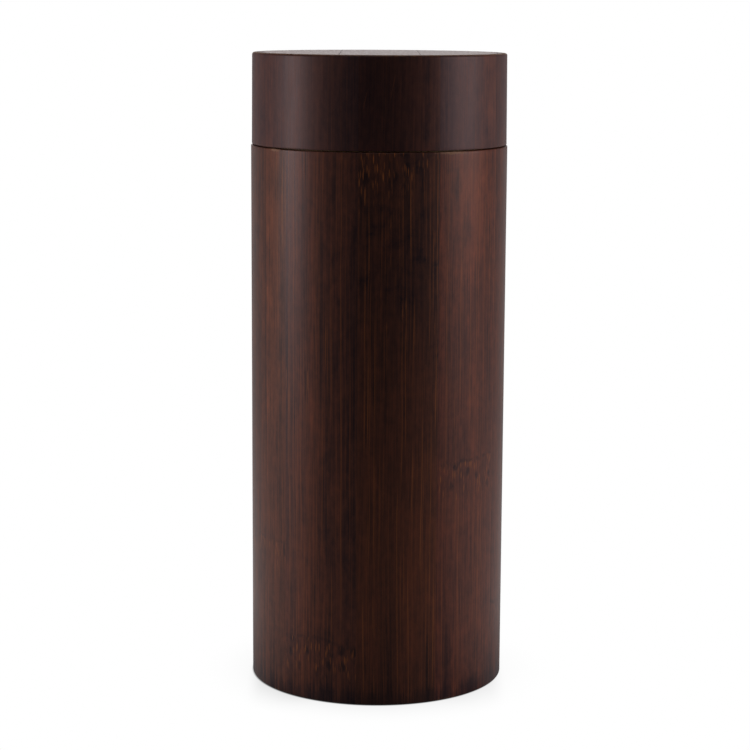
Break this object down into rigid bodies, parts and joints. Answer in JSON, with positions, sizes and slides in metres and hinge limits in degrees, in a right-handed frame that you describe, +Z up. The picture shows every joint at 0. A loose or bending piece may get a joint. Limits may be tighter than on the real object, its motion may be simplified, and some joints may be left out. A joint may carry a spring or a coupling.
{
  "type": "bamboo cylinder case",
  "caption": "Slender round bamboo case: coopered stave body and lift-off lid that meet flush over an inner neck ring, dark stained outside.",
  "frame": {"origin": "centre of the case's round foot, on the surface it stands on", "axes": "+Z up along the case's axis towards the lid, -Y towards the front seen in the picture, +X to the viewer's right"},
  "size_m": [0.066, 0.066, 0.1632],
  "materials": {
    "body_bamboo": "dark red-brown stain, satin lacquer",
    "lid_bamboo": "dark purple-brown stain, satin lacquer",
    "lid_top_bamboo": "dark brown stain, satin lacquer",
    "base_bamboo": "dark brown stain, dull",
    "neck_bamboo": "natural, sanded"
  },
  "bodies": {
    "case": {"body_stave_01": "body_bamboo", "body_stave_02": "body_bamboo", "body_stave_03": "body_bamboo", "body_stave_04": "body_bamboo", "body_stave_05": "body_bamboo", "body_stave_06": "body_bamboo", "body_stave_07": "body_bamboo", "body_stave_08": "body_bamboo", "body_stave_09": "body_bamboo", "body_stave_10": "body_bamboo", "base_strip_1": "base_bamboo", "base_strip_2": "base_bamboo", "base_strip_3": "base_bamboo", "neck_ring": "neck_bamboo"},
    "lid": {"lid_stave_01": "lid_bamboo", "lid_stave_02": "lid_bamboo", "lid_stave_03": "lid_bamboo", "lid_stave_04": "lid_bamboo", "lid_stave_05": "lid_bamboo", "lid_stave_06": "lid_bamboo", "lid_stave_07": "lid_bamboo", "lid_stave_08": "lid_bamboo", "lid_stave_09": "lid_bamboo", "lid_stave_10": "lid_bamboo", "lid_strip_1": "lid_top_bamboo", "lid_strip_2": "lid_top_bamboo", "lid_strip_3": "lid_top_bamboo"}
  },
  "joints": [
    {"name": "lid_lift", "type": "slide", "parent": "case", "child": "lid", "axis": [0, 0, 1], "range_m": [0, 0.06]}
  ]
}
